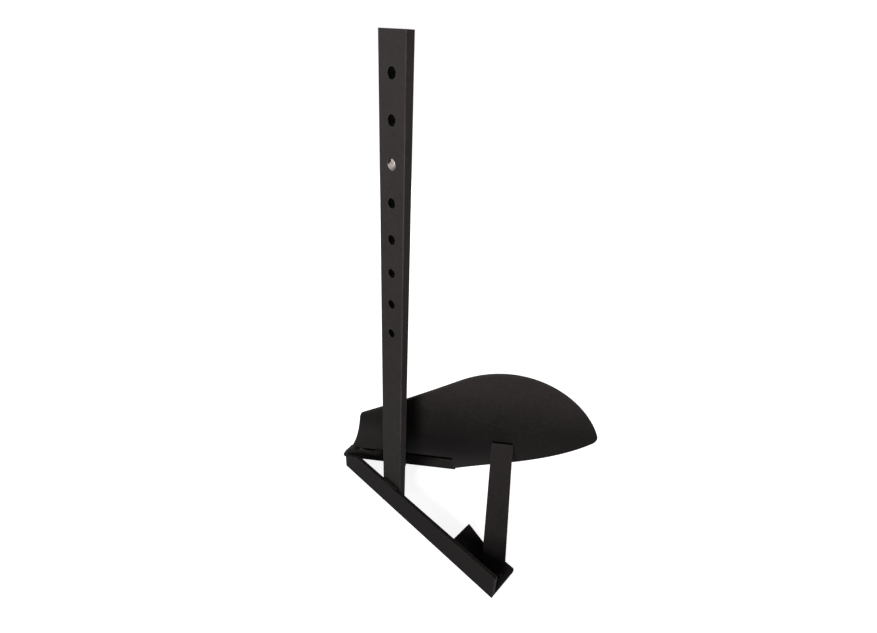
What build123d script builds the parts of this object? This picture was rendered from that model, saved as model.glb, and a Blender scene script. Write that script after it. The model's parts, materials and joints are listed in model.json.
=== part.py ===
from build123d import *
import os
from math import asin, cos, degrees, radians, sin, sqrt, tan

os.makedirs("parts", exist_ok=True)

# A single-furrow mouldboard plough body on a drilled flat-bar shank, for a walk-behind tractor.
# Millimetres. +X to the furrow side, +Y forward along the travel, +Z up. The origin is on the
# sole, in the middle of the landside's thickness, level with the shank's centre line.

# Shank: one upright flat bar with a column of setting holes.
SHANK_WIDTH = 35.0
SHANK_THICKNESS = 10.0
SHANK_TOP = 597.0
SHANK_FOOT = 6.0
SHANK_EDGE = 0.6
HOLE_DIAMETER = 10.5
HOLE_PITCH = 38.0
HOLE_COUNT = 8
TOP_HOLE_DROP = 32.6

# Setting pin: a headed pin through one of the holes, counted from the top.
PIN_HOLE = 3
PIN_PLAY = 0.1
PIN_STANDOUT = 0.8
PIN_HEAD_DIAMETER = 17.0
PIN_HEAD_HEIGHT = 4.5
PIN_CHAMFER = 0.6

# Landside: a flat bar on edge that slides along the furrow wall.
LANDSIDE_THICKNESS = 5.0
LANDSIDE_HEIGHT = 41.0
LANDSIDE_REAR = 190.0
LANDSIDE_TOE_HEIGHT = 23.5
LANDSIDE_SETBACK = 5.5
LANDSIDE_CUT = 29.0

# Heel plate: a flat foot inside the landside's rear end, its front turned up.
HEEL_REACH = 48.6
HEEL_THICKNESS = 5.0
HEEL_FLAT = 49.0
HEEL_LIP = 35.0
HEEL_LIP_ANGLE = 25.0
HEEL_CORNER = 3.0

# Share: a sharpened flat bar. Its back face stands on the sole and leans back.
SHARE_ANGLE = 37.4
NOSE_REACH = 123.4
SHARE_LENGTH = 187.5
SHARE_WIDTH = 43.0
SHARE_CORNER = 1.5
SHARE_THICKNESS = 6.0
SHARE_LEAN = 22.6
BEVEL_WIDTH = 16.0
SHARE_EDGE = 1.0
NOSE_RADIUS = 8.0
WING_RAKE = 8.5
SHIN_GAP = 0.5

# Mouldboard: a rolled sheet that carries the share's back face on upwards from its foot, above
# an open slot. Its lower edge runs from the tail through the listed points to the wing.
BOARD_THICKNESS = 4.0
BOARD_RADIUS = 345.0
BOARD_BELLY = 147.0
BOARD_FOOT = 50.0
SEAM_GAP = 8.0
SEAM_CORNER = 3.0
WING_GAP = 0.5
CROWN_ALONG = 247.0
CROWN_HEIGHT = 218.0
CROWN_RADIUS = 140.0
BROW_SLOPE = 28.1
BROW_RADIUS = 8.0
TAIL_ALONG = 379.1
TAIL_HEIGHT = 127.4
TAIL_RADIUS = 15.0
LOWER_EDGE = [(330.0, 87.0), (285.0, 61.5), (236.0, 38.0)]
WING_HEIGHT = 10.0
SHIN_STEPS = 4

# Frog: a strap along the backs of share and mouldboard, and a web from it to the shank.
FROG_LEAD = 3.0
FROG_WIDTH = 30.0
FROG_THICKNESS = 6.0
FROG_FOOT = 8.0
FROG_HEAD = 130.0
WEB_LANDING = 9.5
WEB_THICKNESS = 8.0
WEB_FOOT = 44.0
WEB_HEAD = 104.0
SEAT_GAP = 0.2

# Countersunk socket screws, washers and nuts that hold the share and the mouldboard.
BOLT_DIAMETER = 6.0
BOLT_SPACING = 15.0
BOLT_HEAD = 12.0
BOLT_STANDOUT = 2.5
SOCKET_FLATS = 4.0
SOCKET_DEPTH = 2.0
THREAD_CHAMFER = 0.6
BOLT_PLAY = 0.3
THREAD_GAP = 0.05
WASHER_DIAMETER = 12.0
WASHER_THICKNESS = 1.6
NUT_FLATS = 10.0
NUT_HEIGHT = 5.0
NUT_CHAMFER = 0.6
SHARE_BOLT_UP = 27.0
BOARD_BOLT_HEIGHT = 117.0

# Strut: a flat bar from the heel plate up to the back of the mouldboard.
STRUT_WIDTH = 30.0
STRUT_THICKNESS = 5.0
STRUT_INSET = 24.8
STRUT_SETBACK = 21.2
STRUT_HEAD_ALONG = 249.9
STRUT_HEAD_HEIGHT = 98.0

# Weld beads.
WELD_RADIUS = 3.0
WIDE_WELD_RADIUS = 4.6
WELD_END = 4.0
STITCH = 20.0
SEAM_WELDS = [(30.5, 35.5), (62.0, 73.0)]

REACH = 500.0

landside_inner = LANDSIDE_THICKNESS / 2
landside_outer = -LANDSIDE_THICKNESS / 2
shank_inner = landside_inner + SHANK_THICKNESS
pin_height = SHANK_TOP - TOP_HOLE_DROP - (PIN_HOLE - 1) * HOLE_PITCH

# The blade frame: X runs back along the cutting edge, Y is up and Z points back, square to
# the edge. Its origin is where the foot of the share's back face meets the landside.
lean = radians(SHARE_LEAN)
angle = radians(SHARE_ANGLE)
BLADE = Plane(
    origin=(landside_inner, NOSE_REACH, 0),
    x_dir=(sin(angle), -cos(angle), 0),
    z_dir=(-cos(angle), -sin(angle), 0),
)
foot_height = BOARD_FOOT * cos(lean)
foot_back = BOARD_FOOT * sin(lean)
near_side = BOARD_RADIUS / 3
board_axis = foot_back - sqrt(BOARD_RADIUS**2 - (BOARD_BELLY - foot_height) ** 2)
strap_radius = BOARD_RADIUS + SEAT_GAP + FROG_THICKNESS
web_along = SHANK_THICKNESS * sin(angle) + (NOSE_REACH - WEB_LANDING) * cos(angle)
frog_along = web_along - FROG_LEAD


def board_back(height):
    """How far back the mouldboard's back face lies at a height, in the blade frame."""
    return board_axis + sqrt(BOARD_RADIUS**2 - (BOARD_BELLY - height) ** 2)


def shin_along(back):
    """Where the blade's front edge runs, just inside the landside's inner face."""
    return (SHIN_GAP + back * cos(angle)) / sin(angle)


def in_blade(shape):
    """Move a shape from the blade frame into the plough's own frame."""
    return BLADE.location * shape


def furrow_side(shape, plane_x):
    """Keep what lies on the furrow side of an upright plane along the travel."""
    keep = Pos(plane_x + REACH, 0, 0) * Box(2 * REACH, 4 * REACH, 4 * REACH)
    return shape & keep


def solids_of(*shapes):
    """Gather shapes into one compound of separate solids."""
    return Compound(children=[solid for shape in shapes for solid in shape.solids()])


def rod(start, end, radius):
    """A straight rod with round ends."""
    line = Edge.make_line(start, end)
    body = Solid.make_cylinder(radius, line.length, Plane(origin=start, z_dir=line % 0))
    return Part() + body + Pos(*start) * Sphere(radius) + Pos(*end) * Sphere(radius)


def make_shank():
    """The upright bar, with softened long edges and a column of holes through it."""
    length = SHANK_TOP - SHANK_FOOT
    bar = Box(SHANK_THICKNESS, SHANK_WIDTH, length)
    bar = fillet(bar.edges().filter_by(Axis.Z), SHANK_EDGE)
    bar = Pos(landside_inner + SHANK_THICKNESS / 2, 0, SHANK_FOOT + length / 2) * bar
    hole = Rot(0, 90, 0) * Cylinder(HOLE_DIAMETER / 2, 4 * SHANK_THICKNESS)
    for row in range(HOLE_COUNT):
        bar -= Pos(landside_inner, 0, SHANK_TOP - TOP_HOLE_DROP - row * HOLE_PITCH) * hole
    return bar


def make_setting_pin():
    """A round pin, chamfered at its tip, with a flat head against the furrow side."""
    length = SHANK_THICKNESS + PIN_STANDOUT
    pin = Cylinder(HOLE_DIAMETER / 2 - PIN_PLAY, length)
    pin = chamfer(pin.edges().group_by(Axis.Z)[0], PIN_CHAMFER)
    head = Cylinder(PIN_HEAD_DIAMETER / 2, PIN_HEAD_HEIGHT)
    head = chamfer(head.edges().group_by(Axis.Z)[-1], PIN_CHAMFER)
    pin += Pos(0, 0, (length + PIN_HEAD_HEIGHT) / 2) * head
    return Pos(shank_inner - length / 2, 0, pin_height) * Rot(0, 90, 0) * pin


def share_back_at(plane_x, height):
    """Where the share's back face crosses an upright plane along the travel."""
    back = height * tan(lean)
    along = (plane_x - landside_inner + back * cos(angle)) / sin(angle)
    return NOSE_REACH - along * cos(angle) - back * sin(angle)


def make_landside():
    """A bar on edge. A blunt toe stops short of the share's back, and the top slopes to it."""
    toe = share_back_at(landside_inner, LANDSIDE_TOE_HEIGHT) - LANDSIDE_SETBACK
    side = Polyline(
        (-LANDSIDE_REAR, 0),
        (toe, 0),
        (toe, LANDSIDE_TOE_HEIGHT),
        (toe - LANDSIDE_CUT, LANDSIDE_HEIGHT),
        (-LANDSIDE_REAR, LANDSIDE_HEIGHT),
        close=True,
    )
    face = Plane(origin=(landside_outer, 0, 0), x_dir=(0, 1, 0), z_dir=(1, 0, 0)) * make_face(side)
    return extrude(face, LANDSIDE_THICKNESS, dir=(1, 0, 0))


def make_heel_plate():
    """A flat bar welded inside the landside's heel, its front end turned up as a runner."""
    rise = radians(HEEL_LIP_ANGLE)
    bend = -LANDSIDE_REAR + HEEL_FLAT
    tip = (bend + HEEL_LIP * cos(rise), HEEL_LIP * sin(rise))
    side = Polyline(
        (-LANDSIDE_REAR, 0),
        (bend, 0),
        tip,
        (tip[0] - HEEL_THICKNESS * sin(rise), tip[1] + HEEL_THICKNESS * cos(rise)),
        (bend - HEEL_THICKNESS * tan(rise / 2), HEEL_THICKNESS),
        (-LANDSIDE_REAR, HEEL_THICKNESS),
        close=True,
    )
    face = Plane(origin=(landside_inner, 0, 0), x_dir=(0, 1, 0), z_dir=(1, 0, 0)) * make_face(side)
    plate = extrude(face, HEEL_REACH - LANDSIDE_THICKNESS, dir=(1, 0, 0))
    corner = plate.edges().filter_by(Axis.Z).group_by(Axis.X)[-1]
    return fillet(corner, HEEL_CORNER)


def share_slab(seam, wing, corner, thickness):
    """The share's plate in the blade frame, grown past its top edge and its raked wing end."""
    rake = tan(radians(WING_RAKE))
    up = SHARE_WIDTH + seam
    end = SHARE_LENGTH + wing - up * rake
    outline = Polyline(
        (-REACH, -SHARE_WIDTH),
        (SHARE_LENGTH + wing + SHARE_WIDTH * rake, -SHARE_WIDTH),
        (end, up),
        (-REACH, up),
        close=True,
    )
    slab = extrude(make_face(outline), thickness / 2, both=True)
    edge = slab.edges().filter_by(Axis.Z).sort_by_distance((end, up, 0))[0]
    return Rot(SHARE_LEAN, 0, 0) * fillet(edge, corner)


def share_bolt_seats():
    """Where the share's bolts start: on its front face, each Z pointing back through it."""
    return [
        Rot(SHARE_LEAN, 0, 0)
        * Pos(frog_along + side * BOLT_SPACING / 2, SHARE_BOLT_UP, -SHARE_THICKNESS)
        for side in (-1, 1)
    ]


def board_bolt_seats():
    """Where the mouldboard's bolts start: on its front face, square to the curve."""
    tilt = degrees(asin((BOARD_BELLY - BOARD_BOLT_HEIGHT) / BOARD_RADIUS))
    back = board_back(BOARD_BOLT_HEIGHT)
    return [
        Pos(frog_along + side * BOLT_SPACING / 2, BOARD_BOLT_HEIGHT, back)
        * Rot(tilt, 0, 0)
        * Pos(0, 0, -BOARD_THICKNESS)
        for side in (-1, 1)
    ]


def bolt_hole():
    """A countersunk clearance hole, from the front face back, with an open mouth before it."""
    sink = Cone(
        BOLT_HEAD / 2 + SEAT_GAP,
        BOLT_DIAMETER / 2 + SEAT_GAP,
        (BOLT_HEAD - BOLT_DIAMETER) / 2,
        align=(Align.CENTER, Align.CENTER, Align.MIN),
    )
    mouth = Cylinder(
        BOLT_HEAD / 2 + SEAT_GAP,
        BOLT_DIAMETER,
        align=(Align.CENTER, Align.CENTER, Align.MAX),
    )
    return mouth + sink + Cylinder(BOLT_DIAMETER / 2 + BOLT_PLAY, 6 * BOLT_DIAMETER)


def make_bolt(grip):
    """A countersunk screw with a hex socket, long enough for its grip, washer and nut."""
    seat = (Align.CENTER, Align.CENTER, Align.MIN)
    length = grip + WASHER_THICKNESS + NUT_HEIGHT + BOLT_STANDOUT
    body = Cylinder(BOLT_DIAMETER / 2, length, align=seat)
    body = chamfer(body.edges().group_by(Axis.Z)[-1], THREAD_CHAMFER)
    body += Cone(BOLT_HEAD / 2, BOLT_DIAMETER / 2, (BOLT_HEAD - BOLT_DIAMETER) / 2, align=seat)
    socket = RegularPolygon(SOCKET_FLATS / 2, 6, major_radius=False)
    return body - extrude(socket, SOCKET_DEPTH)


def make_washer(grip):
    """A plain washer behind the grip."""
    ring = Cylinder(WASHER_DIAMETER / 2, WASHER_THICKNESS)
    ring -= Cylinder(BOLT_DIAMETER / 2 + BOLT_PLAY, 2 * WASHER_THICKNESS)
    return Pos(0, 0, grip + WASHER_THICKNESS / 2) * ring


def make_nut(grip):
    """A hex nut behind the washer, its corners rounded off at both ends."""
    hexagon = RegularPolygon(NUT_FLATS / 2, 6, major_radius=False, rotation=30)
    nut = extrude(hexagon, NUT_HEIGHT)
    crown = Cylinder(NUT_FLATS / 2 / cos(radians(30)), NUT_HEIGHT)
    crown = chamfer(crown.edges().filter_by(GeomType.CIRCLE), NUT_CHAMFER)
    nut &= Pos(0, 0, NUT_HEIGHT / 2) * crown
    nut -= Cylinder(BOLT_DIAMETER / 2 + THREAD_GAP, 4 * NUT_HEIGHT)
    return Pos(0, 0, grip + WASHER_THICKNESS) * nut


def make_share():
    """A sharpened bar: a flat leaning back face, a ground bevel in front, a rounded nose."""
    bevel_back = BEVEL_WIDTH * sin(lean) - SHARE_THICKNESS * cos(lean)
    bevel_height = BEVEL_WIDTH * cos(lean) + SHARE_THICKNESS * sin(lean)
    top_back = SHARE_WIDTH * sin(lean)
    top_height = SHARE_WIDTH * cos(lean)
    section = Polyline(
        (0, 0),
        (top_back, top_height),
        (top_back - SHARE_THICKNESS * cos(lean), top_height + SHARE_THICKNESS * sin(lean)),
        (bevel_back, bevel_height),
        (-SHARE_EDGE, 0),
        close=True,
    )
    across = Plane(origin=(-SHARE_LENGTH, 0, 0), x_dir=(0, 0, 1), z_dir=(-1, 0, 0))
    bar = extrude(across * make_face(section), 3 * SHARE_LENGTH, dir=(1, 0, 0))
    bar &= share_slab(0, 0, SHARE_CORNER, 4 * SHARE_WIDTH)
    nose = (shin_along(0), 0)
    blank = Polyline(
        nose,
        (REACH, 0),
        (REACH, REACH),
        (shin_along(REACH * tan(lean)), REACH),
        close=True,
    )
    blank = extrude(make_face(blank), SHARE_WIDTH, both=True)
    edge = blank.edges().filter_by(Axis.Z).sort_by_distance((*nose, 0))[0]
    bar &= fillet(edge, NOSE_RADIUS)
    for seat in share_bolt_seats():
        bar -= seat * bolt_hole()
    return in_blade(bar)


def shoulder_point():
    """Where the straight brow turns into the crown's arc, along the edge and up."""
    slope = radians(BROW_SLOPE)
    centre_height = CROWN_HEIGHT - CROWN_RADIUS
    return CROWN_ALONG - CROWN_RADIUS * sin(slope), centre_height + CROWN_RADIUS * cos(slope)


def brow_point():
    """Where the front edge meets the straight brow, found by a few rounds of substitution."""
    shoulder_along, shoulder_height = shoulder_point()
    height = BOARD_BELLY
    for _ in range(12):
        along = shin_along(board_back(height))
        height = shoulder_height - (shoulder_along - along) * tan(radians(BROW_SLOPE))
    return along, height


def board_prism():
    """The mouldboard's outline, seen square to the cutting edge, as a deep prism."""
    slope = radians(BROW_SLOPE)
    brow = brow_point()
    shoulder = shoulder_point()
    tail = (TAIL_ALONG, TAIL_HEIGHT)
    wing = (SHARE_LENGTH, WING_HEIGHT)
    toe = (shin_along(board_back(0)), 0)
    heights = [brow[1] * step / SHIN_STEPS for step in range(1, SHIN_STEPS)]
    shin = [(shin_along(board_back(height)), height) for height in heights]
    outline = [
        Line(brow, shoulder),
        TangentArc(shoulder, tail, tangent=(cos(slope), sin(slope))),
        Spline(tail, *LOWER_EDGE, wing),
        Polyline(wing, (SHARE_LENGTH, 0), toe),
        Spline(toe, *shin, brow),
    ]
    prism = extrude(make_face(outline), near_side, both=True)
    uprights = prism.edges().filter_by(Axis.Z)
    prism = fillet(uprights.sort_by_distance((*tail, 0))[0], TAIL_RADIUS)
    uprights = prism.edges().filter_by(Axis.Z)
    return fillet(uprights.sort_by_distance((*brow, 0))[0], BROW_RADIUS)


def board_roll(radius):
    """A long round bar about the axis that the mouldboard is rolled about."""
    return Pos(0, BOARD_BELLY, board_axis) * Rot(0, 90, 0) * Cylinder(radius, 4 * REACH)


def board_shell(radius, thickness):
    """A length of rolled sheet in the blade frame, its back face at the given radius."""
    return board_roll(radius) - board_roll(radius - thickness)


def make_mouldboard():
    """The rolled sheet, cut to its outline and notched for the share with an open slot above."""
    board = board_shell(BOARD_RADIUS, BOARD_THICKNESS) & board_prism()
    board -= share_slab(SEAM_GAP, WING_GAP, SEAM_CORNER, 2 * SHARE_WIDTH)
    for seat in board_bolt_seats():
        board -= seat * bolt_hole()
    return in_blade(board)


def make_frog_strap():
    """A strap bent to lie on the backs of the share and the mouldboard."""
    flat_foot = FROG_FOOT / cos(lean)
    overlap = FROG_THICKNESS / 3
    flat = Box(
        FROG_WIDTH,
        BOARD_FOOT + overlap - flat_foot,
        FROG_THICKNESS,
        align=(Align.CENTER, Align.MIN, Align.MIN),
    )
    flat = Rot(SHARE_LEAN, 0, 0) * Pos(frog_along, flat_foot, 0) * flat
    window = Box(
        FROG_WIDTH,
        FROG_HEAD - foot_height + overlap,
        BOARD_RADIUS,
        align=(Align.CENTER, Align.MIN, Align.CENTER),
    )
    window = Pos(frog_along, foot_height - overlap, 0) * window
    strap = flat + (board_shell(strap_radius, FROG_THICKNESS) & window)
    for seat in share_bolt_seats() + board_bolt_seats():
        strap -= seat * bolt_hole()
    return in_blade(strap)


def make_frog_web():
    """An upright plate from the strap's back to the shank's furrow face, cut to fit both."""
    web = Box(
        WEB_THICKNESS,
        WEB_HEAD - WEB_FOOT,
        BOARD_RADIUS,
        align=(Align.CENTER, Align.MIN, Align.MIN),
    )
    web = Pos(web_along, WEB_FOOT, 0) * web
    return furrow_side(in_blade(web - board_roll(strap_radius)), shank_inner)


def strut_ends():
    """The middle of the strut's lower face at the heel plate and at the mouldboard's back."""
    foot = Vector(landside_inner + STRUT_INSET, STRUT_SETBACK - LANDSIDE_REAR, HEEL_THICKNESS)
    back = board_back(STRUT_HEAD_HEIGHT) + SEAT_GAP
    head = BLADE.from_local_coords((STRUT_HEAD_ALONG, STRUT_HEAD_HEIGHT, back))
    return foot, head


def strut_plane():
    """The strut's own frame: X up along it, Y across it and Z out of its upper face."""
    foot, head = strut_ends()
    run = (head - foot).normalized()
    across = Vector(0, 0, 1).cross(run).normalized()
    return Plane(origin=foot, x_dir=run, z_dir=run.cross(across))


def strut_bar(overrun):
    """The strut's bar, standing on the heel plate and running past its head by a distance."""
    foot, head = strut_ends()
    bar = Box(
        (head - foot).length + overrun + STRUT_WIDTH,
        STRUT_WIDTH,
        STRUT_THICKNESS,
        align=(Align.MAX, Align.CENTER, Align.MIN),
    )
    bar = strut_plane().location * Pos((head - foot).length + overrun, 0, 0) * bar
    above = Box(2 * REACH, 2 * REACH, REACH, align=(Align.CENTER, Align.CENTER, Align.MIN))
    return bar & Pos(0, 0, HEEL_THICKNESS) * above


def make_strut():
    """A flat bar, its foot cut level and its head left square against the mouldboard."""
    return strut_bar(0) - in_blade(board_roll(BOARD_RADIUS + SEAT_GAP))


def make_shank_welds(shank, landside):
    """Beads along the landside's top edge and up both edges of the shank's foot."""
    reach = SHANK_WIDTH / 2
    inner = landside_inner
    top = rod(
        (inner, WELD_END - reach, LANDSIDE_HEIGHT),
        (inner, reach - WELD_END, LANDSIDE_HEIGHT),
        WIDE_WELD_RADIUS,
    )
    sides = [
        rod(
            (inner, side * reach, SHANK_FOOT + WELD_END),
            (inner, side * reach, LANDSIDE_HEIGHT - 2 * WELD_END),
            WELD_RADIUS,
        )
        for side in (-1, 1)
    ]
    return solids_of(*[bead - shank - landside for bead in [top] + sides])


def make_heel_weld(landside, heel_plate):
    """A bead along the inside corner between the landside and the heel plate."""
    rear = -LANDSIDE_REAR + WELD_END
    front = -LANDSIDE_REAR + HEEL_FLAT - WELD_END
    inner = landside_inner
    bead = rod((inner, rear, HEEL_THICKNESS), (inner, front, HEEL_THICKNESS), WELD_RADIUS)
    return solids_of(bead - landside - heel_plate)


def make_strut_foot_weld(strut, heel_plate):
    """A bead across the strut's foot, in front of its upper face."""
    frame = strut_plane()
    setback = STRUT_THICKNESS * frame.z_dir.Z / frame.x_dir.Z
    reach = STRUT_WIDTH / 2 - WELD_END
    start = frame.from_local_coords((-setback, -reach, STRUT_THICKNESS))
    end = frame.from_local_coords((-setback, reach, STRUT_THICKNESS))
    return solids_of(rod(start, end, WELD_RADIUS) - strut - heel_plate)


def make_strut_head_weld(mouldboard):
    """A bead under the strut's head, in the corner against the mouldboard's back."""
    foot, head = strut_ends()
    frame = strut_plane()
    length = (head - foot).length
    reach = STRUT_WIDTH / 2 - WELD_END
    start = frame.from_local_coords((length, -reach, 0))
    end = frame.from_local_coords((length, reach, 0))
    return solids_of(rod(start, end, WELD_RADIUS) - strut_bar(STRUT_WIDTH) - mouldboard)


def make_seam_welds(share, mouldboard):
    """Short wide beads that bridge the slot at the nose and beside the strap."""
    middle = Rot(SHARE_LEAN, 0, 0) * Pos(0, SHARE_WIDTH + SEAM_GAP / 2, 0)
    beads = []
    for start, end in SEAM_WELDS:
        bead = rod((start, 0, 0), (end, 0, 0), WIDE_WELD_RADIUS)
        beads.append(in_blade(middle * bead) - share - mouldboard)
    return solids_of(*beads)


def web_sides():
    """The two faces of the web, as distances along the cutting edge."""
    return [web_along + side * WEB_THICKNESS / 2 for side in (-1, 1)]


def make_web_shank_welds(web, shank):
    """Upright beads on both sides of the web, against the shank's furrow face."""
    beads = []
    for along in web_sides():
        back = (along * sin(angle) - SHANK_THICKNESS) / cos(angle)
        start = BLADE.from_local_coords((along, WEB_FOOT + WELD_END, back))
        end = BLADE.from_local_coords((along, WEB_HEAD - WELD_END, back))
        beads.append(rod(start, end, WELD_RADIUS) - web - shank)
    return solids_of(*beads)


def make_web_strap_welds(web, strap):
    """Short stitches on both sides of the web, against the back of the strap."""
    beads = []
    for along in web_sides():
        for low in (WEB_FOOT + WELD_END, WEB_HEAD - WELD_END - STITCH):
            ends = [
                BLADE.from_local_coords(
                    (along, up, board_axis + sqrt(strap_radius**2 - (BOARD_BELLY - up) ** 2))
                )
                for up in (low, low + STITCH)
            ]
            beads.append(rod(ends[0], ends[1], WELD_RADIUS) - web - strap)
    return solids_of(*beads)


def placed(seats, piece):
    """Copies of one fastener part at all its seats."""
    return solids_of(*[in_blade(seat * piece) for seat in seats])


shank = make_shank()
landside = make_landside()
heel_plate = make_heel_plate()
share = make_share()
mouldboard = make_mouldboard()
frog_strap = make_frog_strap()
frog_web = make_frog_web()
strut = make_strut()
share_grip = SHARE_THICKNESS + FROG_THICKNESS
board_grip = BOARD_THICKNESS + SEAT_GAP + FROG_THICKNESS

nodes = {
    "shank": shank,
    "setting_pin": make_setting_pin(),
    "landside": landside,
    "heel_plate": heel_plate,
    "share": share,
    "mouldboard": mouldboard,
    "frog_strap": frog_strap,
    "frog_web": frog_web,
    "strut": strut,
    "share_bolts": placed(share_bolt_seats(), make_bolt(share_grip)),
    "share_washers": placed(share_bolt_seats(), make_washer(share_grip)),
    "share_nuts": placed(share_bolt_seats(), make_nut(share_grip)),
    "mouldboard_bolts": placed(board_bolt_seats(), make_bolt(board_grip)),
    "mouldboard_washers": placed(board_bolt_seats(), make_washer(board_grip)),
    "mouldboard_nuts": placed(board_bolt_seats(), make_nut(board_grip)),
    "shank_welds": make_shank_welds(shank, landside),
    "heel_weld": make_heel_weld(landside, heel_plate),
    "strut_foot_weld": make_strut_foot_weld(strut, heel_plate),
    "strut_head_weld": make_strut_head_weld(mouldboard),
    "seam_welds": make_seam_welds(share, mouldboard),
    "web_shank_welds": make_web_shank_welds(frog_web, shank),
    "web_strap_welds": make_web_strap_welds(frog_web, frog_strap),
}
for name, shape in nodes.items():
    export_step(shape, f"parts/{name}.step")
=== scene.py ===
# %% [markdown]
# # A small mouldboard plough
#
# A plough of this kind cuts a slice of soil with its share and turns it over with a rolled
# sheet, the mouldboard. A bar on edge, the landside, runs along the furrow wall and keeps it
# straight, and an upright bar, the shank, carries it all from the tractor's hitch. The CAD
# frame already holds every piece at its real size. This script adds what a size can't say:
# edges rounded by rolling and cutting, ripples in the welds, paint with painted shade,
# shadows and highlights, bare steel and light. It starts by loading the frame: its nodes are
# the pieces, and its bodies are what moves.

# %% The frame
import json
import random
from math import radians

import bpy
import numpy
from mathutils import Matrix, Vector


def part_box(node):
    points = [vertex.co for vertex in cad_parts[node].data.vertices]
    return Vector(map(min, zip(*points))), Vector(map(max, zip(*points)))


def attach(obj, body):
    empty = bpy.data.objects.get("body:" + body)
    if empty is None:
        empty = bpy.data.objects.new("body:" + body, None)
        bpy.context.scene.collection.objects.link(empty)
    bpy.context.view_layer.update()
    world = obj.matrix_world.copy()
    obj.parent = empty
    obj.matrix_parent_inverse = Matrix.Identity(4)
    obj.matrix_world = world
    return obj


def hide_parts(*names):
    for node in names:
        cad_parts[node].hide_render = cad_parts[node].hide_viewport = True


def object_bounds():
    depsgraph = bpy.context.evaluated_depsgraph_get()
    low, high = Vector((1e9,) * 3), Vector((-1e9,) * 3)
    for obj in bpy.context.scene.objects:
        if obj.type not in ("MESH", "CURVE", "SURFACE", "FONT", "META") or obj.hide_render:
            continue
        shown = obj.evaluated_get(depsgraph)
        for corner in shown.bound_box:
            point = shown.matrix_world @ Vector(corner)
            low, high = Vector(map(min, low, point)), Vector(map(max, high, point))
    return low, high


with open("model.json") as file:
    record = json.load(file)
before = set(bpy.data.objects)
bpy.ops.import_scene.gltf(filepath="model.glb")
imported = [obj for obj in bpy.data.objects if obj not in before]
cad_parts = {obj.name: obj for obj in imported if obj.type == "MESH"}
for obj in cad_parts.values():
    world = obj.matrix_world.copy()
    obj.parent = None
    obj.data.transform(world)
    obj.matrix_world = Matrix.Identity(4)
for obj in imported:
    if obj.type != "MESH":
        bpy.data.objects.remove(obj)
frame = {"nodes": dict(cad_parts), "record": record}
cad_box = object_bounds()


def in_mm(box):
    """A box's two corners, in millimetres."""
    return [[round(1000 * side, 1) for side in corner] for corner in box]


print("the CAD box in mm:", in_mm(cad_box))

# %% [markdown]
# ## The camera
#
# The plough is seen from behind, above and the land side, so that the landside comes towards
# the viewer and the mouldboard shows its back. A camera can be turned with Euler angles, but
# a heading, a dip and a roll are easier to think about: each is one rotation matrix, and
# their product is the camera's turn. A short lens close to the shank gives its strong taper.

# %% The camera
VIEW_PLACE = Vector((-0.2993, -0.3357, 0.5926))
VIEW_HEADING = radians(48.66)
VIEW_DIP = radians(30.87)
VIEW_ROLL = radians(3.463)
VIEW_LENS = 19.14
VIEW_SENSOR = 36
VIEW_NEAREST = 0.01

turn = Matrix.Rotation(-VIEW_HEADING, 4, "Z")
turn = turn @ Matrix.Rotation(radians(90) - VIEW_DIP, 4, "X")
turn = turn @ Matrix.Rotation(VIEW_ROLL, 4, "Z")
bpy.ops.object.camera_add()
camera = bpy.context.object
camera.matrix_world = Matrix.Translation(VIEW_PLACE) @ turn
camera.data.lens = VIEW_LENS
camera.data.sensor_width = VIEW_SENSOR
camera.data.clip_start = VIEW_NEAREST
bpy.context.scene.camera = camera
print("the camera is", round(VIEW_PLACE.length, 2), "m from the shank's foot")

# %% [markdown]
# ## Working by hand, in code
#
# Blender's operators act on whatever is selected, and loading leaves every node selected. So
# each step first picks the one piece it works on. A modifier that is applied becomes part of
# the mesh, which the export needs.

# %% Picking pieces and applying modifiers
def pick(*pieces):
    """Select these pieces and nothing else, and make the first one active."""
    bpy.ops.object.select_all(action="DESELECT")
    for piece in pieces:
        piece.select_set(True)
    bpy.context.view_layer.objects.active = pieces[0]


def apply(piece, kind, **settings):
    """Add a modifier with its settings, and make it part of the mesh."""
    modifier = piece.modifiers.new(kind.lower(), kind)
    for key, value in settings.items():
        setattr(modifier, key, value)
    pick(piece)
    bpy.ops.object.modifier_apply(modifier=modifier.name)


print("nodes to dress:", len(frame["nodes"]))

# %% [markdown]
# ## Shader maths as Python
#
# A material in Blender is a graph of nodes, and sums made of Math nodes are hard to read.
# Here a small class stands for one output of a node, and +, - and * on it add the Math
# nodes. A mask is a number from 0 to 1 that says how much of a layer shows, and `ramp` makes
# one from any measure.

# %% A node's output that knows arithmetic
class Wire:
    """One output of a shader node. Arithmetic on it adds Math nodes."""

    def __init__(self, graph, socket):
        self.graph = graph
        self.socket = socket

    def math(self, operation, *values):
        return self.graph.add("ShaderNodeMath", {"operation": operation}, dict(enumerate(values)))

    def __add__(self, other):
        return self.math("ADD", self, other)

    __radd__ = __add__

    def __sub__(self, other):
        return self.math("SUBTRACT", self, other)

    def __rsub__(self, other):
        return self.math("SUBTRACT", other, self)

    def __mul__(self, other):
        return self.math("MULTIPLY", self, other)

    __rmul__ = __mul__

    def size(self):
        """The value without its sign."""
        return self.math("ABSOLUTE", self)

    def ramp(self, low, high):
        """0 below low, 1 above high, and a smooth step between."""
        limits = {"Value": self, "From Min": low, "From Max": high}
        return self.graph.add("ShaderNodeMapRange", {"interpolation_type": "SMOOTHSTEP"}, limits)


print("a Wire knows +, -, *, size and ramp")

# %% [markdown]
# ## A material as a recipe
#
# The second class makes the nodes. `add` makes any node at all, and the other methods are
# what the finishes below use most. They read Object coordinates, which are metres here, so a
# patch of 6 mm is written as 0.006 on every piece. A finished piece sits at the origin, so
# one measure means the same place on all of them.

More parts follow.
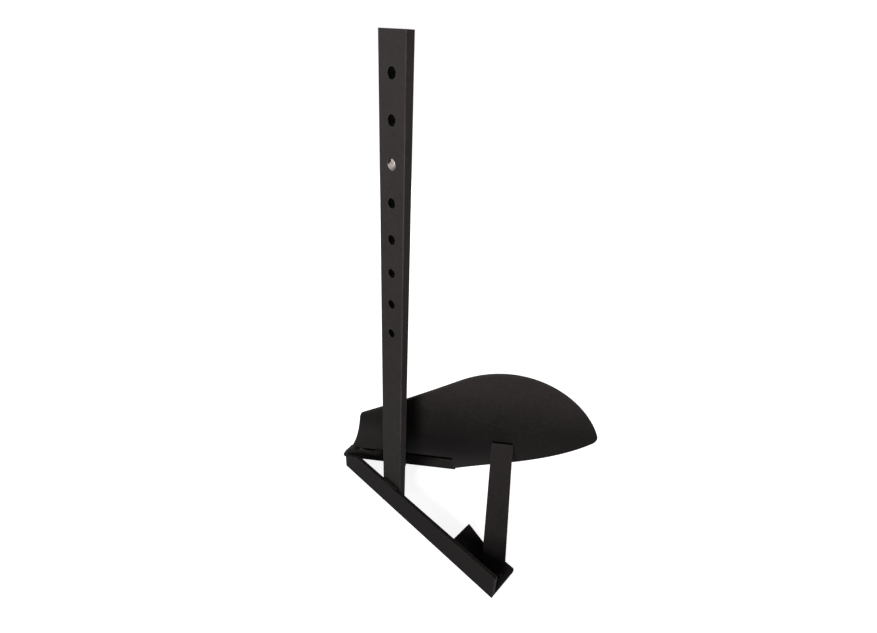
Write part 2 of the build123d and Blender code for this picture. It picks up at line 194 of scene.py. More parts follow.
# %% The nodes of a material
class Graph:
    """The nodes of a new material, or of a world that is given."""

    def __init__(self, name, owner=None):
        self.material = owner or bpy.data.materials.new(name)
        self.material.use_nodes = True
        self.nodes = self.material.node_tree.nodes
        self.links = self.material.node_tree.links
        self.nodes.clear()

    def add(self, kind, settings=None, inputs=None, output=0):
        """Make a node, set it, feed its inputs with numbers or wires, and return its output."""
        node = self.nodes.new(kind)
        for key, value in (settings or {}).items():
            setattr(node, key, value)
        for key, value in (inputs or {}).items():
            if isinstance(value, Wire):
                self.links.new(value.socket, node.inputs[key])
            else:
                node.inputs[key].default_value = value
        return Wire(self, node.outputs[output]) if node.outputs else None

    def place(self, stretch=(1, 1, 1)):
        """Where on the object a point lies, in metres, stretched along X, Y and Z."""
        place = self.add("ShaderNodeTexCoord", output="Object")
        return self.add("ShaderNodeMapping", inputs={"Vector": place, "Scale": stretch})

    def along(self, axis):
        """How far along X, Y or Z a point lies, in metres."""
        return self.add("ShaderNodeSeparateXYZ", inputs={0: self.place()}, output=axis)

    def vector(self, operation, first, second=None, output=0):
        """Vector Math on one or two vectors."""
        values = {0: first} if second is None else {0: first, 1: second}
        return self.add("ShaderNodeVectorMath", {"operation": operation}, values, output)

    def noise(self, size, detail=2, stretch=(1, 1, 1)):
        """Soft random patches of about this size in metres, from 0 to 1."""
        values = {"Vector": self.place(stretch), "Scale": 1 / size, "Detail": detail}
        return self.add("ShaderNodeTexNoise", inputs=values)

    def waver(self, size, spread, detail=2):
        """A soft random shift, up to half the spread to either side."""
        return (self.noise(size, detail) - 0.5) * spread

    def mix(self, factor, first, second):
        """A colour between two colours."""
        values = {0: factor, 6: first, 7: second}
        return self.add("ShaderNodeMix", {"data_type": "RGBA"}, values, output=2)

    def bump(self, height, depth):
        """A bumped normal: height runs from 0 to 1, and depth is in metres."""
        return self.add("ShaderNodeBump", inputs={"Height": height, "Distance": depth})

    def finish(self, **sockets):
        """Put a Principled shader with these inputs on the material, and return the material."""
        values = {key.replace("_", " "): value for key, value in sockets.items()}
        shader = self.add("ShaderNodeBsdfPrincipled", inputs=values)
        self.add("ShaderNodeOutputMaterial", inputs={"Surface": shader})
        return self.material


print("a Graph makes nodes for a material or a world")

# %% [markdown]
# ## Corners and edges
#
# Shade gathers where surfaces meet, and paint wears off where they part. Blender can sense
# both while it renders. Ambient Occlusion tells how closed in a point is, and there the paint
# is darkened as painted shade. The Bevel node bends the normal near an edge, so its
# difference from the true normal marks the edges.

# %% Crevices and edges
CREVICE_SAMPLES = 8
CREVICE_OPENING = (0.35, 0.92)
EDGE_SAMPLES = 4


def crevices(graph, reach):
    """1 deep in gaps and holes, and 0 where nothing stands within reach."""
    settings = {"samples": CREVICE_SAMPLES}
    opening = graph.add("ShaderNodeAmbientOcclusion", settings, {"Distance": reach}, output="AO")
    return 1 - opening.ramp(*CREVICE_OPENING)


def edges(graph, reach):
    """About 0 on flat surfaces, and more within reach of a sharp edge."""
    rounded = graph.add("ShaderNodeBevel", {"samples": EDGE_SAMPLES}, {"Radius": reach})
    normal = graph.add("ShaderNodeNewGeometry", output="Normal")
    return 1 - graph.vector("DOT_PRODUCT", rounded, normal, output="Value")


print("a crevice shows below an opening of", CREVICE_OPENING[1])

# %% [markdown]
# ## Black paint
#
# The steel is sprayed with one coat of matt black, with cloudy patches where it is a little
# thicker. The coat is painted darker low down and paler higher up, by height alone: painted
# shade near the floor and painted light higher up. Paint draws back from each edge and leaves
# a thin greyer line, and the sharpest edges are rubbed to bare steel. A picture wrapped round
# each bar could hold all this, but it would stretch, and blur up close. Here each is a layer
# that is worked out from noise, height or edges, with its size in metres, so it is right at
# any distance.

# %% The coat of paint
LOW_SHADED_BLACK = (0.0150, 0.0130, 0.0128)
HIGH_LIT_BLACK = (0.0345, 0.0293, 0.0290)
EDGE_GREY = (0.100, 0.092, 0.088, 1)
BARE_STEEL = (0.30, 0.29, 0.28, 1)
CLOUD_SIZE, CLOUD_SPREAD = 0.045, 0.5
PATCH_SIZE, PATCH_SPREAD = 0.006, 0.7
EDGE_REACH, EDGE_SPREAD = 0.0011, 0.12
GREY_EDGE, GREY_SHOWS = (0.02, 0.16), 0.7
BARE_EDGE = (0.14, 0.30)
PAINT_ROUGH, CLOUD_ROUGH, PATCH_ROUGH, RUBBED_ROUGH = 0.42, 0.10, 0.08, -0.10


# Each piece's tone lightens or darkens its copy of this one black, partly as painted light and
# shade on that piece.
def toned(colour, tone):
    """A paint colour made lighter or darker by a factor."""
    return (*[channel * tone for channel in colour], 1)


def black_coat(graph, tone, wear, light_heights):
    """The paint's colour and roughness. The colour runs from painted shade to painted light
    between two heights.
    """
    clouds = graph.noise(CLOUD_SIZE, detail=3)
    patches = graph.noise(PATCH_SIZE, detail=4)
    uneven = (clouds - 0.5) * CLOUD_SPREAD + (patches - 0.5) * PATCH_SPREAD
    # Painted shade low down turning to painted light higher up, with the coat's cloudy patches.
    height_light_and_clouds = graph.along("Z").ramp(*light_heights) + uneven
    coat = graph.mix(height_light_and_clouds, toned(LOW_SHADED_BLACK, tone), toned(HIGH_LIT_BLACK, tone))
    edge = edges(graph, EDGE_REACH) + (patches - 0.5) * EDGE_SPREAD
    coat = graph.mix(edge.ramp(*GREY_EDGE) * GREY_SHOWS, coat, EDGE_GREY)
    rubbed = edge.ramp(*BARE_EDGE) * wear
    coat = graph.mix(rubbed, coat, BARE_STEEL)
    rough = PAINT_ROUGH + clouds * CLOUD_ROUGH + patches * PATCH_ROUGH
    return coat, rough + rubbed * RUBBED_ROUGH


print("the greyer line reaches", 1000 * EDGE_REACH, "mm from an edge")

# %% [markdown]
# ## Painted shade in corners, orange peel and gloss
#
# The gaps and corners of every painted piece are darkened as painted shade, and the spray
# gun leaves a fine orange peel. The peel is too fine to model, so a Bump node only bends the
# normal by it.
# The gloss stays weak, because matt paint mirrors a white room as no more than a haze.

# %% Black paint
CREVICE_SHADE = (0.0016, 0.0012, 0.0011, 1)
PEEL_SIZE, SPECK_SIZE, SPECK_SHARE, PEEL_DEPTH = 0.0016, 0.0005, 0.4, 0.00006


def painted(graph, coat, rough, gloss, shade_reach=0.008):
    """Finish a painted piece: painted shade in its corners, orange peel, and a weak gloss."""
    peel = graph.noise(PEEL_SIZE, detail=2)
    specks = graph.noise(SPECK_SIZE, detail=1)
    return graph.finish(
        # The corners and gaps are darkened as painted shade.
        Base_Color=graph.mix(crevices(graph, shade_reach), coat, CREVICE_SHADE),
        Roughness=rough,
        Specular_IOR_Level=gloss,
        Normal=graph.bump(peel + SPECK_SHARE * specks, PEEL_DEPTH),
    )


def paint(name, tone, wear, gloss, light_heights=(0.0, 0.24)):
    """Matt black paint for one kind of piece."""
    graph = Graph(name)
    return painted(graph, *black_coat(graph, tone, wear, light_heights), gloss)


bar_paint = paint("bar_paint", tone=1.05, wear=0.15, gloss=0.012)
print(bar_paint.name, "has", len(bar_paint.node_tree.nodes), "nodes")

# %% [markdown]
# ## Painted shadows on the share
#
# The share is painted dark where shade falls on its back: the landside's shadow on its
# foot, the shank's shadow beside the web that carries share and mouldboard, and the shade in
# the slot above it. These painted shadows stay on the backs, the faces that look back to the
# land side. So each mark is a mask: how far along the piece a point lies, times whether its
# surface looks back. Two ramps multiplied make a mark that ends both ways, and a little noise
# added to the measure gives it a ragged edge. Each pair of numbers is where a mark starts and
# where it is whole, along X from the landside or up Z from the sole. BACK_TURN does the same
# for the way a surface looks, and a RAGGED pair is the noise's size and spread.

# %% Share paint
SHADOW_BLACK = (0.0022, 0.0016, 0.0013, 1)
BACKWARD = (-0.81, -0.58, 0)
BACK_TURN = (-0.1, 0.2)
FOOT_SHADOW, FOOT_TOP, FOOT_TOP_SPARED = (0.016, 0.030), (0.016, 0.024), 0.45
SHARE_WEB_SHADOW, LIT_WING = (0.028, 0.045), (0.070, 0.098)
SHARE_SHADOW_RAGGED, SHARE_SHADOW_SHOWS = (0.03, 0.008), 0.94
SLOT_LIP, SLOT_BLUR, SLOT_NOSE = 0.0028, 0.0004, (0.014, 0.018)


def on_back(graph):
    """1 on the faces that look back and to the land side, and 0 on the working faces."""
    normal = graph.add("ShaderNodeTexCoord", output="Normal")
    return graph.vector("DOT_PRODUCT", normal, BACKWARD, output="Value").ramp(*BACK_TURN)


def share_finish():
    """Paint for the share: painted shade in the slot above it, and painted shadow on its foot and
    beside the web.
    """
    graph = Graph("blade_paint")
    coat, rough = black_coat(graph, tone=2.4, wear=0.5, light_heights=(-0.06, 0.24))
    ragged = graph.waver(*SHARE_SHADOW_RAGGED)
    across, up = graph.along("X") + ragged, graph.along("Z") + ragged * 0.5
    # The landside's shadow on the foot and the shank's shadow beside the web, painted dark.
    foot = across.ramp(*FOOT_SHADOW) * (1 - up.ramp(*FOOT_TOP) * FOOT_TOP_SPARED)
    shadow_patch = (foot + across.ramp(*SHARE_WEB_SHADOW)).ramp(0, 1) * (1 - across.ramp(*LIT_WING))
    back = on_back(graph)
    coat = graph.mix(shadow_patch * back * SHARE_SHADOW_SHOWS, coat, SHADOW_BLACK)
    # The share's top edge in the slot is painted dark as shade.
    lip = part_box("share")[1].z - SLOT_LIP
    slot = graph.along("Z").ramp(lip, lip + SLOT_BLUR) * graph.along("X").ramp(*SLOT_NOSE)
    return painted(graph, graph.mix(slot * back, coat, CREVICE_SHADE), rough, gloss=0.001, shade_reach=0.004)


blade_paint = share_finish()

# %% [markdown]
# ## The mouldboard's shin and hollow
#
# The mouldboard is painted paler low down near its front edge, the shin.
# On its back, a band across the hollow is painted darker as shade, and beside the web the
# shank's shadow is painted dark. The tools are the same as for the share: measures, ramps
# and the back mask.

# %% Mouldboard paint
SHIN_GREY, SHEET_RAGGED = (0.052, 0.047, 0.045, 1), (0.03, 0.012)
SHIN, SHIN_TOP, SHIN_SHOWS = (0.020, 0.048), (0.085, 0.130), 0.5
BEHIND_WEB, BESIDE_WEB = (0.034, 0.040), (0.050, 0.064)
WEB_SHADOW_TOP, WEB_SHADOW_SPARED, WEB_SHADOW_SHOWS = (0.11, 0.20), 0.4, 0.7
SHADED_BAND_FOOT, SHADED_BAND_TOP, SHADED_BAND_END, SHADED_BAND_SHOWS = (0.050, 0.070), (0.088, 0.130), (0.085, 0.135), 0.45


def sheet_finish():
    """Paint for the mouldboard: a paler shin, painted shade across the hollow and painted shadow
    beside the web.
    """
    graph = Graph("sheet_paint")
    coat, rough = black_coat(graph, tone=1.3, wear=0.06, light_heights=(0.115, 0.215))
    ragged = graph.waver(*SHEET_RAGGED, detail=3)
    across, up = graph.along("X") + ragged, graph.along("Z") + ragged
    # Paler low down near the front edge.
    shin = (1 - across.ramp(*SHIN)) * (1 - up.ramp(*SHIN_TOP))
    coat = graph.mix(shin * SHIN_SHOWS, coat, SHIN_GREY)
    behind = across.ramp(*BEHIND_WEB) * on_back(graph)
    # A band across the hollow, painted darker as shade.
    shaded_band = up.ramp(*SHADED_BAND_FOOT) * (1 - up.ramp(*SHADED_BAND_TOP)) * (1 - across.ramp(*SHADED_BAND_END))
    coat = graph.mix(behind * shaded_band * SHADED_BAND_SHOWS, coat, SHADOW_BLACK)
    # The shank's shadow beside the web, painted dark.
    shadow_patch = behind * (1 - across.ramp(*BESIDE_WEB)) * (1 - up.ramp(*WEB_SHADOW_TOP) * WEB_SHADOW_SPARED)
    coat = graph.mix(shadow_patch * WEB_SHADOW_SHOWS, coat, SHADOW_BLACK)
    return painted(graph, coat, rough, gloss=0.014, shade_reach=0.005)


sheet_paint = sheet_finish()

# %% [markdown]
# ## The strut's foot
#
# The strut's foot, in the corner of the landside and the heel plate, is painted dark as
# shade. One ramp up Z is enough.

# %% Strut paint
STRUT_FOOT_SHADE, STRUT_RAGGED, STRUT_FOOT_SHADE_SHOWS = (0.012, 0.040), (0.02, 0.012), 0.85


def strut_finish():
    """Paint for the strut, with painted shade at its foot."""
    graph = Graph("strut_paint")
    coat, rough = black_coat(graph, tone=1.2, wear=0.15, light_heights=(-0.03, 0.12))
    # The foot is painted dark as shade.
    foot_shade = 1 - (graph.along("Z") + graph.waver(*STRUT_RAGGED)).ramp(*STRUT_FOOT_SHADE)
    return painted(graph, graph.mix(foot_shade * STRUT_FOOT_SHADE_SHOWS, coat, SHADOW_BLACK), rough, gloss=0.012)


strut_paint = strut_finish()
# Above this height the strut has no painted shade.
print("the strut is clean from", round(1000 * STRUT_FOOT_SHADE[1]), "mm above the sole")

# %% [markdown]
# ## The shank's wear, painted highlight and painted shade
#
# Each of the shank's four long corners carries a thin grey line, broken along the bar: a
# painted highlight on the corner, and paint rubbed thin where the shank slides through the
# hitch. Its holes are painted black as the shade inside them, and the pin has scraped the
# paint off one hole's rim. All three follow the bar's own measures: how far a point lies from
# a corner, how deep inside the bar it is, and how far it is from the pin.

# %% Measures on the shank
PIN_MIDDLE = sum(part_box("setting_pin"), Vector()) / 2
ACROSS_PIN = (0, 1, 1)


def pin_spot(graph):
    """A point's place in metres, counted from the middle of the setting pin."""
    return graph.vector("SUBTRACT", graph.place(), PIN_MIDDLE)


def pin_ring(graph):
    """How far a point lies from the pin's axis, in metres."""
    flat = graph.vector("MULTIPLY", pin_spot(graph), ACROSS_PIN)
    return graph.vector("LENGTH", flat, output="Value")


def corner_distance(graph, node):
    """How far a point on an upright bar lies from its nearest long corner, in metres."""
    low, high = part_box(node)
    middle, half = (low + high) / 2, (high - low) / 2
    from_side = half.x - (graph.along("X") - middle.x).size()
    from_front = half.y - (graph.along("Y") - middle.y).size()
    return from_side + from_front


print("the pin's axis is", round(1000 * PIN_MIDDLE.z), "mm above the sole")

# %% [markdown]
# ## Shank paint
#
# With these measures each mark is a line or two. The corner line, painted highlight and
# rubbed paint in one, has a width, and a noise stretched along the bar breaks it up. The
# scraped rim is a ring about the pin's axis, cut off above it. The painted shade in the holes
# fills what lies below the faces and near the bar's middle line.

# %% Shank paint
LINE_WIDTH, LINE_LEAST, LINE_MORE = 0.0014, 0.25, 0.6
LINE_BREAK, LINE_GAPS, LINE_STRETCH = 0.05, (0.36, 0.58), (1, 1, 0.6)
LINE_RAGGED, SCRAPE_RAGGED = (0.002, 0.0008), (0.0015, 0.0012)
SCRAPE_REACH, SCRAPE_BLUR = 0.0058, 0.0003
SCRAPE_TOP = (PIN_MIDDLE.z - 0.002, PIN_MIDDLE.z + 0.003)
HOLE_SHADE = (0.0010, 0.0008, 0.0007, 1)
HOLE_SHADE_REACH, HOLE_SHADE_BLUR = 0.0055, 0.0002
HOLE_DEPTH = (0.0047, 0.0050)
TOP_FACE = (0.006, 0.002)


def shank_finish():
    """Paint for the shank, with corners lightened by a painted highlight and rubbed paint, holes
    painted dark as shade, and one scraped rim.
    """
    graph = Graph("shank_paint")
    low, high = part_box("shank")
    coat, rough = black_coat(graph, tone=1.5, wear=0.0, light_heights=(-0.1, 0.7))
    # The corner line is a painted highlight as well as rubbed paint.
    broken = graph.noise(LINE_BREAK, detail=3, stretch=LINE_STRETCH).ramp(*LINE_GAPS)
    line = corner_distance(graph, "shank") + graph.waver(*LINE_RAGGED)
    line = (1 - line.ramp(0, LINE_WIDTH)) * (LINE_LEAST + LINE_MORE * broken)
    coat = graph.mix(line, coat, EDGE_GREY)
    ring = pin_ring(graph) + graph.waver(*SCRAPE_RAGGED)
    scrape = 1 - ring.ramp(SCRAPE_REACH, SCRAPE_REACH + SCRAPE_BLUR)
    below = 1 - graph.along("Z").ramp(*SCRAPE_TOP)
    coat = graph.mix(scrape * below, coat, BARE_STEEL)
    # The holes are painted dark as the shade inside them.
    inside = 1 - (graph.along("X") - (low.x + high.x) / 2).size().ramp(*HOLE_DEPTH)
    central = 1 - graph.along("Y").size().ramp(HOLE_SHADE_REACH - HOLE_SHADE_BLUR, HOLE_SHADE_REACH)
    under = 1 - graph.along("Z").ramp(high.z - TOP_FACE[0], high.z - TOP_FACE[1])
    coat = graph.mix(inside * central * under, coat, HOLE_SHADE)
    return painted(graph, coat, rough, gloss=0.02)


shank_paint = shank_finish()
# The holes' painted shade reaches this far.
print("the grease reaches", 1000 * HOLE_SHADE_REACH, "mm from the shank's middle line")

# %% [markdown]
# ## The setting pin's bare steel
#
# The pin is bare drawn steel, with rings from the lathe on its ends. The upper side of its tip
# is painted black, as painted shade from the hole's rim and a painted dark reflection. A
# metal's colour is that of its reflections, so this painted patch also takes the Metallic
# value down to 0.

# %% Bare steel
BRIGHT_STEEL, STAINED_STEEL = (0.30, 0.265, 0.25, 1), (0.15, 0.13, 0.12, 1)
STAIN_SIZE, STAIN_EDGE = 0.004, (0.35, 0.7)
STEEL_ROUGH, STAIN_ROUGH, PIN_GLOSS = 0.30, 0.15, 0.05
LATHE = {"Scale": 900, "Distortion": 1.5, "Detail": 2}
LATHE_DEPTH = 0.00001
PIN_SHADE_BLACK, PIN_SHADE_RAGGED = (0.012, 0.009, 0.008, 1), (0.003, 0.006)
PIN_SHADE_EDGE, PIN_SHADE_REACH = (0.0018, 0.0028), (0.003, 0.005)
DIAGONAL = 0.7


def turned_steel(name):
    """Bare steel with fine rings about the pin's axis, which runs along X, and painted shade on
    its tip.
    """
    graph = Graph(name)
    settings = {"wave_type": "RINGS", "rings_direction": "X"}
    values = {"Vector": pin_spot(graph), **LATHE}
    rings = graph.add("ShaderNodeTexWave", settings, values, output="Fac")
    stain = graph.noise(STAIN_SIZE, detail=4)
    colour = graph.mix(stain.ramp(*STAIN_EDGE), BRIGHT_STEEL, STAINED_STEEL)
    # The tip's upper side is painted black as shade and a dark reflection.
    upper = graph.along("Y") * DIAGONAL + (graph.along("Z") - PIN_MIDDLE.z) * DIAGONAL
    upper = upper + graph.waver(*PIN_SHADE_RAGGED, detail=3)
    pin_shade = upper.ramp(*PIN_SHADE_EDGE) * (1 - graph.along("X").ramp(*PIN_SHADE_REACH))
    return graph.finish(
        Base_Color=graph.mix(pin_shade, colour, PIN_SHADE_BLACK),
        Metallic=1 - pin_shade,
        Specular_IOR_Level=PIN_GLOSS,
        Roughness=STEEL_ROUGH + stain * STAIN_ROUGH,
        Normal=graph.bump(rings, LATHE_DEPTH),
    )


pin_steel = turned_steel("pin_steel")
print(pin_steel.name, "has", len(pin_steel.node_tree.nodes), "nodes")

# %% [markdown]
# ## Zinc plate
#
# The screws, nuts and washers are zinc plated: duller, a little blue, with a mottle from the
# bath. One noise drives the colour, the roughness and a very shallow bump, so a dull patch is
# dull in every way.

# %% Zinc plate
ZINC_PALE, ZINC_DULL = (0.34, 0.35, 0.36, 1), (0.24, 0.24, 0.235, 1)
MOTTLE_SIZE, MOTTLE_EDGE, MOTTLE_DEPTH = 0.0025, (0.3, 0.7), 0.00002
ZINC_ROUGH, MOTTLE_ROUGH = 0.36, 0.14


def zinc(name):
    """Dull zinc plate, mottled by the bath."""
    graph = Graph(name)
    mottle = graph.noise(MOTTLE_SIZE, detail=4)
    return graph.finish(
        Base_Color=graph.mix(mottle.ramp(*MOTTLE_EDGE), ZINC_PALE, ZINC_DULL),
        Metallic=1.0,
        Roughness=ZINC_ROUGH + mottle * MOTTLE_ROUGH,
        Normal=graph.bump(mottle, MOTTLE_DEPTH),
    )


zinc_plate = zinc("zinc_plate")
print(zinc_plate.name, "has", len(zinc_plate.node_tree.nodes), "nodes")

# %% [markdown]
# ## Rounded edges
#
# No edge of a real bar is perfectly sharp, and the thin bright line along an edge is what
# tells the eye that a thing is made of steel. A CAD node's mesh is loose triangles, so a copy
# is merged into whole faces first. A Bevel modifier that looks at the angle between faces
# then rounds every real edge and leaves the smooth curves alone.

# %% Copies with rounded edges
MERGE = 0.000002
FLAT = radians(0.05)
SHARP = radians(28)
ROUND_STEPS = 3
FACE_WEIGHT = 100
BODIES = frame["record"]["behaviour"]["bodies"]


def copy_of(node, name):
    """A copy of a CAD node's mesh, merged into whole faces, as a new piece."""
    piece = bpy.data.objects.new(name, frame["nodes"][node].data.copy())
    bpy.context.scene.collection.objects.link(piece)
    pick(piece)
    bpy.ops.mesh.customdata_custom_splitnormals_clear()
    bpy.ops.object.mode_set(mode="EDIT")
    bpy.ops.mesh.select_all(action="SELECT")
    bpy.ops.mesh.remove_doubles(threshold=MERGE)
    bpy.ops.mesh.dissolve_limited(angle_limit=FLAT)
    bpy.ops.object.mode_set(mode="OBJECT")
    return piece


def dress(piece, node, material):
    """Give a finished piece its material, and let it stand for its CAD node."""
    piece.data.materials.clear()
    piece.data.materials.append(material)
    body = next(name for name, nodes in BODIES.items() if node in nodes)
    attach(piece, body)
    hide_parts(node)


def rounded(node, name, radius, material, slot="black_paint"):
    """A piece of the CAD frame with its sharp edges rounded to a radius in metres."""
    piece = copy_of(node, name)
    limits = {"limit_method": "ANGLE", "angle_limit": SHARP}
    apply(piece, "BEVEL", width=radius, segments=ROUND_STEPS, **limits)
    bpy.ops.object.shade_smooth_by_angle(angle=SHARP)
    apply(piece, "WEIGHTED_NORMAL", keep_sharp=True, weight=FACE_WEIGHT)
    dress(piece, node, material)
    return piece


print("the plough's body has", len(BODIES["plough"]), "nodes")

# %% [markdown]
# ## The bars and sheets
#
# The radii are those of the trade: rolled bar has edges of about half a millimetre, and the
# shank's and the share's are finer, because the hitch and the soil keep them crisp.

# %% Bars and sheets
PAINTED = {
    "shank": ("shank_bar", 0.0002, shank_paint),
    "landside": ("landside_bar", 0.0006, bar_paint),
    "heel_plate": ("heel_foot", 0.0006, bar_paint),
    "strut": ("strut_bar", 0.0006, strut_paint),
    "frog_strap": ("frog_bent_strap", 0.0006, bar_paint),
    "frog_web": ("frog_web_plate", 0.0006, bar_paint),
    "share": ("share_blade", 0.0003, blade_paint),
    "mouldboard": ("mouldboard_sheet", 0.0005, sheet_paint),
}
for node, (name, radius, material) in PAINTED.items():
    piece = rounded(node, name, radius, material)
    print(name, "has", len(piece.data.polygons), "faces")

# %% [markdown]
# ## Weld beads
#
# A hand-held torch leaves a bead of overlapping ripples, like a row of fallen coins, that
# starts and ends smaller than its middle and is never quite even. The CAD node's own solids
# say where each bead runs and how thick it is: each was cut from a rod with round ends. So
# the first step reads that rod back. The longest direction of a cloud of points is the last
# eigenvector of its covariance.

# %% Where the welds run
def loose_parts(node):
    """The points of each separate solid of a CAD node."""
    whole = copy_of(node, node + "_parts")
    pick(whole)
    bpy.ops.mesh.separate(type="LOOSE")
    parts = list(bpy.context.selected_objects)
    clouds = [numpy.array([vertex.co for vertex in part.data.vertices]) for part in parts]
    for part in parts:
        bpy.data.objects.remove(part)
    return clouds


def weld_line(points):
    """The two ends and the radius of the rod that a CAD bead was cut from.

    A rod's round ends come to a point on its own middle line, also where the rest is cut away.
    """
    run = numpy.linalg.eigh(numpy.cov((points - points.mean(axis=0)).T))[1][:, -1]
    along = points @ run
    first, last = points[along.argmin()], points[along.argmax()]
    run = (last - first) / numpy.linalg.norm(last - first)
    across = (points - first) - numpy.outer((points - first) @ run, run)
    radius = numpy.linalg.norm(across, axis=1).max()
    return Vector(first + radius * run), Vector(last - radius * run), float(radius)


print("nodes of weld beads:", sum("weld" in node for node in BODIES["plough"]))

# %% [markdown]
# ## One ripple
#
# A ripple is a coin that leans back along the seam. It could start as a cylinder, but a
# sphere, squashed, has the round rim that molten steel takes. It is modelled once, for a
# bead 1 m in radius, and every bead is made of small copies of it.

# %% One ripple
RIPPLE_FLATNESS = 0.45
RIPPLE_LEAN = radians(30)
COIN_SEGMENTS, COIN_RINGS = 20, 12


def ripple_coin():
    """One ripple of a bead 1 m in radius, which runs along X: a squashed, leaning sphere."""
    bpy.ops.object.select_all(action="DESELECT")
    bpy.ops.mesh.primitive_uv_sphere_add(segments=COIN_SEGMENTS, ring_count=COIN_RINGS, radius=1)
    coin = bpy.context.object
    bpy.ops.object.mode_set(mode="EDIT")
    bpy.ops.mesh.select_all(action="SELECT")
    bpy.ops.transform.resize(value=(RIPPLE_FLATNESS, 1, 1))
    bpy.ops.transform.rotate(value=RIPPLE_LEAN, orient_axis="Y", center_override=(0, 0, 0))
    bpy.ops.object.mode_set(mode="OBJECT")
    return coin


coin = ripple_coin()
print("one ripple has", len(coin.data.polygons), "faces")

# %% [markdown]
# ## One bead
#
# Copies of the coin are laid along the seam, each a little different in size, and smaller at
# the two ends. Joined, they are still a row of closed shells inside each other. A voxel
# remesh melts them into one skin, and a little smoothing takes off its steps.

# %% One bead
RIPPLE_STEP = 0.0016
RIPPLE_SWAY = 0.07
LEAST_RIPPLES = 3
BEAD_TIP, BEAD_SWELL = 0.62, 2.5
BEAD_VOXEL = 0.0003
BEAD_SOFTNESS = 0.4
hand = random.Random(4)


def bead(coin, start, end, radius):
    """One weld bead from start to end."""
    run = end - start
    turn = run.to_track_quat("X", "Z").to_matrix().to_4x4()
    count = max(LEAST_RIPPLES, round(run.length / RIPPLE_STEP))
    ripples = []
    for index in range(count + 1):
        way = index / count
        taper = min(1, BEAD_TIP + BEAD_SWELL * min(way, 1 - way))
        size = radius * taper * (1 + RIPPLE_SWAY * hand.uniform(-1, 1))
        place = start + run * way
        ripple = bpy.data.objects.new("ripple", coin.data.copy())
        bpy.context.scene.collection.objects.link(ripple)
        ripple.matrix_world = Matrix.Translation(place) @ turn @ Matrix.Scale(size, 4)
        ripples.append(ripple)
    pick(*ripples)
    bpy.ops.object.transform_apply(location=True, rotation=True, scale=True)
    bpy.ops.object.join()
    piece = bpy.context.object
    apply(piece, "REMESH", mode="VOXEL", voxel_size=BEAD_VOXEL)
    apply(piece, "SMOOTH", factor=BEAD_SOFTNESS, iterations=1)
    pick(piece)
    bpy.ops.object.shade_smooth()
    return piece


print("there is a ripple every", 1000 * RIPPLE_STEP, "mm")

# %% [markdown]
# ## Every seam
#
# The beads of one CAD node become one piece, which stands for that node. They are painted
# with the bars, but a bead has no sharp edge to rub, so its paint has no wear.

# %% Weld beads
weld_paint = paint("weld_paint", tone=0.9, wear=0.0, gloss=0.012)
for node in [node for node in BODIES["plough"] if "weld" in node]:
    beads = [bead(coin, *weld_line(points)) for points in loose_parts(node)]
    pick(*beads)
    bpy.ops.object.join()
    piece = bpy.context.object
    piece.name = node + "_beads"
    dress(piece, node, weld_paint)
    print(piece.name, "has", len(beads), "beads and", len(piece.data.polygons), "faces")
bpy.data.objects.remove(coin)

# %% [markdown]
# ## Fasteners and the setting pin
#
# The screws, washers and nuts are whole in CAD. They get a finer rounding than the bars, and
# their plating. The setting pin stays bare.

# %% Fasteners and the setting pin
FASTENER_EDGE = 0.00015
for node in BODIES["plough"]:
    if node.endswith(("bolts", "washers", "nuts")):
        piece = rounded(node, node + "_plated", FASTENER_EDGE, zinc_plate, "zinc_plate")
        print(piece.name, "has", len(piece.data.polygons), "faces")
piece = rounded("setting_pin", "setting_pin_turned", FASTENER_EDGE, pin_steel, "bright_steel")
print(piece.name, "has", len(piece.data.polygons), "faces")

# %% [markdown]
# ## Floor and room
#
# The floor is pale and keeps the plough's shadow. A black object needs care here: a white
# floor throws so much light back that the undersides turn grey. So the camera and every
# reflection see a plain white room, and plain light sees a darker one. The Light Path node
# tells the two apart, and adding emission to the floor lifts it to white only where it is
# seen.

# %% The white room
FLOOR_SIZE = 30
FLOOR_PALE = (0.80, 0.80, 0.80, 1)
FLOOR_BOUNCE = (0.12, 0.12, 0.12, 1)
NEAR_LIFT, FAR_LIFT = 0.87, 1.0
LIFT_REACH = (0.3, 1.6)


def seen(graph):
    """1 for what the camera, a reflection or a clear piece sees, and 0 for plain light."""
    rays = [
        graph.add("ShaderNodeLightPath", output=f"Is {kind} Ray")
        for kind in ("Camera", "Glossy", "Transmission")
    ]
    return (rays[0] + rays[1] + rays[2]).ramp(0, 1)


def floor_paint():
    """Pale and lifted to white where it is seen, and darker in the light that it gives back."""
    graph = Graph("pale_floor")
    grey = graph.mix(seen(graph), FLOOR_BOUNCE, FLOOR_PALE)
    grey = graph.add("ShaderNodeBsdfDiffuse", inputs={"Color": grey})
    reach = graph.vector("LENGTH", graph.place(), output="Value")
    lift = NEAR_LIFT + (FAR_LIFT - NEAR_LIFT) * reach.ramp(*LIFT_REACH)
    lift = graph.add("ShaderNodeEmission", inputs={"Strength": seen(graph) * lift})
    both = graph.add("ShaderNodeAddShader", inputs={0: grey, 1: lift})
    graph.add("ShaderNodeOutputMaterial", inputs={"Surface": both})
    return graph.material


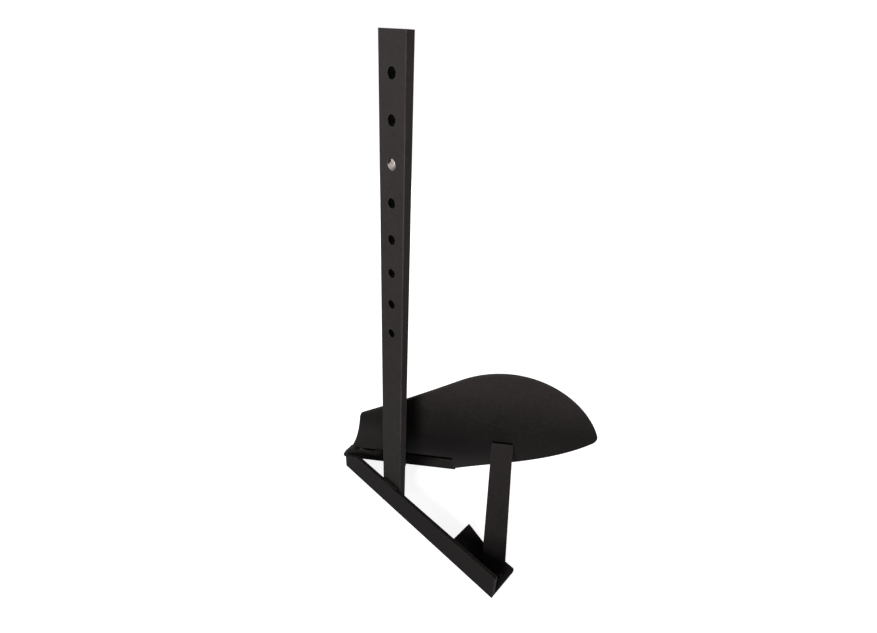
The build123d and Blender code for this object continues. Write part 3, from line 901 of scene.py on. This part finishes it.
bpy.ops.object.select_all(action="DESELECT")
bpy.ops.mesh.primitive_plane_add(size=FLOOR_SIZE, location=(0, 0, cad_box[0][2]))
bpy.ops.object.transform_apply(location=True)
floor = bpy.context.object
floor.name = "pale_floor"
floor.data.materials.append(floor_paint())
print("the floor is", FLOOR_SIZE, "m wide")

# %% [markdown]
# ## The walls and the sky
#
# The world is the room's walls and sky in one. It gives little light of its own, and is white
# wherever it is seen.

# %% The sky
SKY_LEVEL = 0.09
WHITE = (1, 1, 1, 1)

world = bpy.data.worlds.new("white_room")
bpy.context.scene.world = world
room = Graph("room_nodes", world)
glow = room.add(
    "ShaderNodeBackground",
    inputs={"Color": WHITE, "Strength": SKY_LEVEL + (1 - SKY_LEVEL) * seen(room)},
)
room.add("ShaderNodeOutputWorld", inputs={"Surface": glow})
print("the sky's plain light is", SKY_LEVEL, "of white")

# %% [markdown]
# ## Soft boxes
#
# The key is a small soft box behind on the land side. It casts the shank's shadow on the
# mouldboard, and because it is near, the top of the shank is brighter than its foot. A large
# weak box in front on the land side fills the shadows, and one low behind picks out the
# strut and the landside's end. The fourth stands in front on the furrow side, for the
# mouldboard's working face. Each is at a level at which a colour renders about as written.

# %% Soft boxes
AIM = Vector((0.05, 0.0, 0.20))
SOFT_BOXES = {
    "key_box": {"place": (-0.96, -0.47, 0.72), "size": 0.30, "power": 9},
    "fill_box": {"place": (-0.9, 1.3, 0.5), "size": 0.8, "power": 4},
    "rear_box": {"place": (0.25, -1.6, 0.6), "size": 0.6, "power": 3},
    "furrow_box": {"place": (1.2, 0.9, 0.9), "size": 1.4, "power": 15},
}


def soft_box(name, place, size, power):
    """A square lamp of this size in metres that looks at the plough from its place."""
    bpy.ops.object.light_add(type="AREA")
    lamp = bpy.context.object
    lamp.name = name
    place = Vector(place)
    look = (place - AIM).to_track_quat("Z", "Y").to_matrix().to_4x4()
    lamp.matrix_world = Matrix.Translation(place) @ look
    lamp.data.size = size
    lamp.data.energy = power
    print(name, "is", round((place - AIM).length, 2), "m away")


for name, box in SOFT_BOXES.items():
    soft_box(name, **box)

# %% [markdown]
# ## The last lines
#
# Standard view writes a colour as it is.

# %% Finish
bpy.context.scene.view_settings.view_transform = "Standard"
